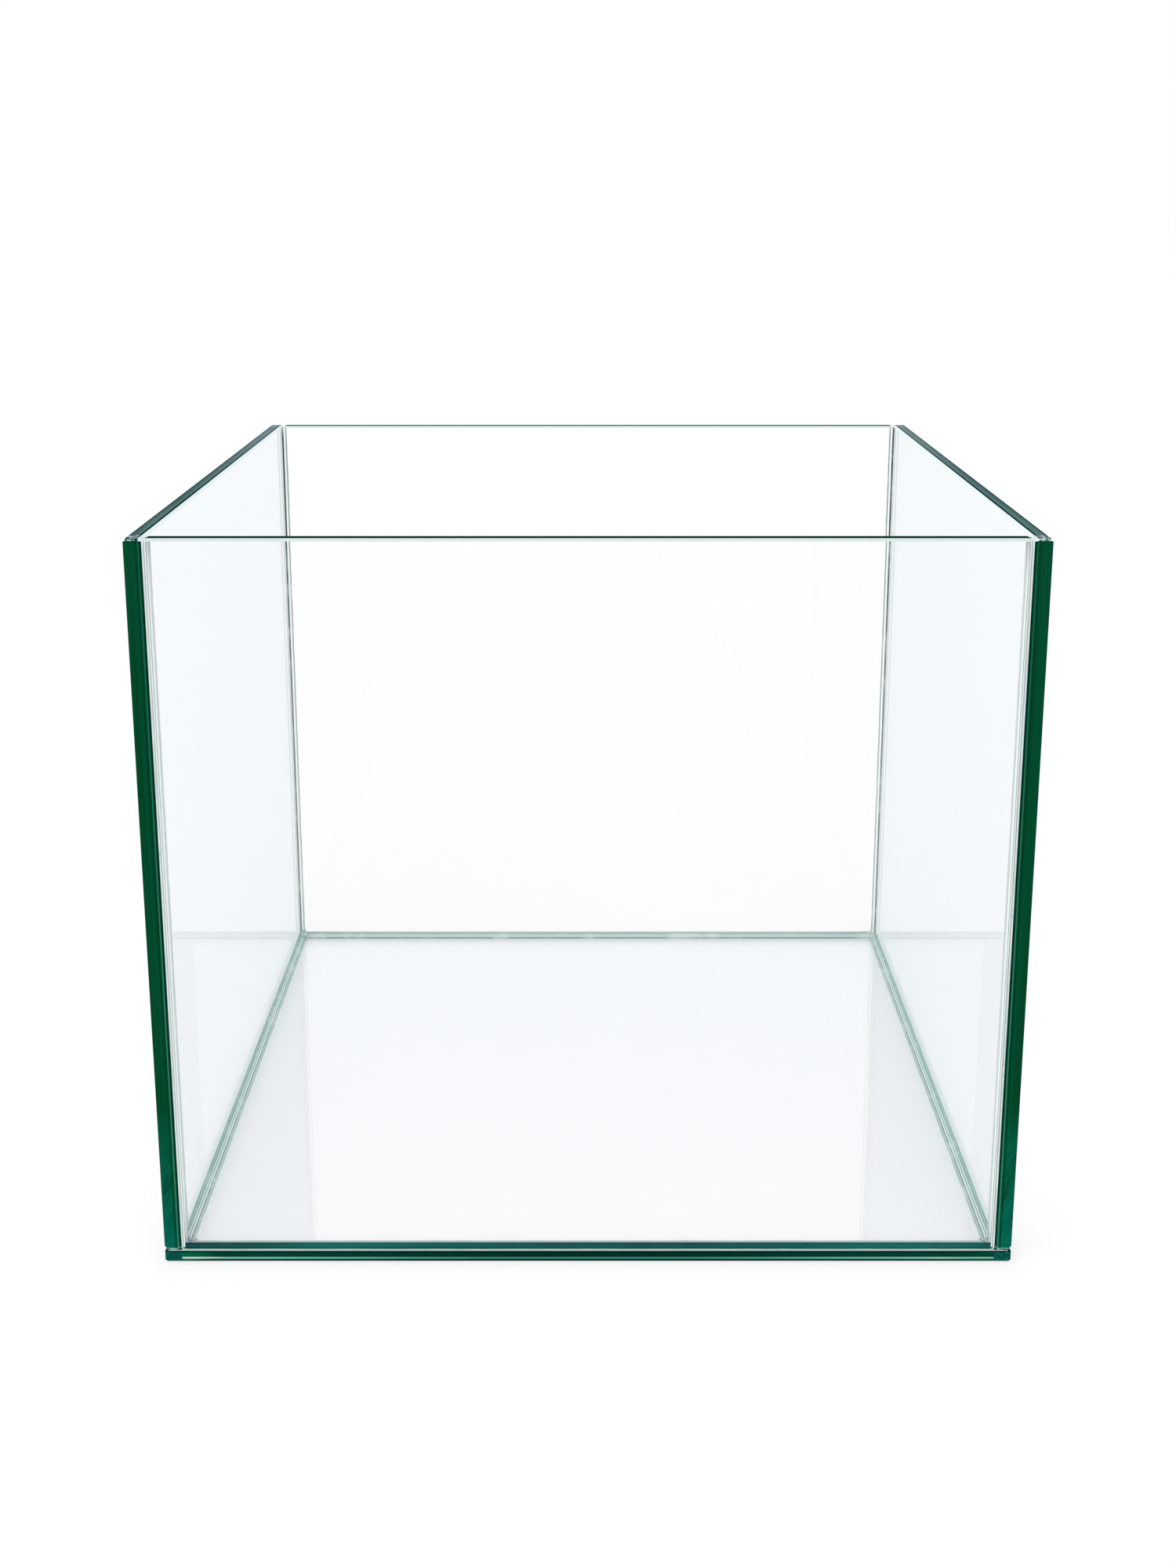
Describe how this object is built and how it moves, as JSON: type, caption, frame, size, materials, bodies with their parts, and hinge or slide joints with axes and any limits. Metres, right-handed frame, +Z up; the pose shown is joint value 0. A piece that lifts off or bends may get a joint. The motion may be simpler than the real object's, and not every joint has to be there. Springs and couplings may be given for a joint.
{
  "type": "glass aquarium",
  "caption": "Open-topped rimless tank of float glass sheets with green ground edges, glued and sealed with clear silicone.",
  "frame": {"origin": "middle of the tank's footprint, on the surface it stands on", "axes": "+Z up, -Y out of the front pane, +X to the right seen from the front"},
  "size_m": [0.3, 0.3, 0.26],
  "materials": {
    "glass": "clear float glass, faces polished by the float, edges ground and dark green",
    "silicone_bond": "clear silicone pressed thin between two sheets",
    "silicone_bead": "clear silicone, tooled smooth and glossy"
  },
  "bodies": {
    "root": {"base_pane": "glass", "front_pane": "glass", "back_pane": "glass", "left_pane": "glass", "right_pane": "glass", "front_base_bond": "silicone_bond", "back_base_bond": "silicone_bond", "left_base_bond": "silicone_bond", "right_base_bond": "silicone_bond", "front_left_bond": "silicone_bond", "front_right_bond": "silicone_bond", "back_left_bond": "silicone_bond", "back_right_bond": "silicone_bond", "front_floor_seal": "silicone_bead", "back_floor_seal": "silicone_bead", "left_floor_seal": "silicone_bead", "right_floor_seal": "silicone_bead", "front_left_seal": "silicone_bead", "front_right_seal": "silicone_bead", "back_left_seal": "silicone_bead", "back_right_seal": "silicone_bead"}
  },
  "joints": []
}
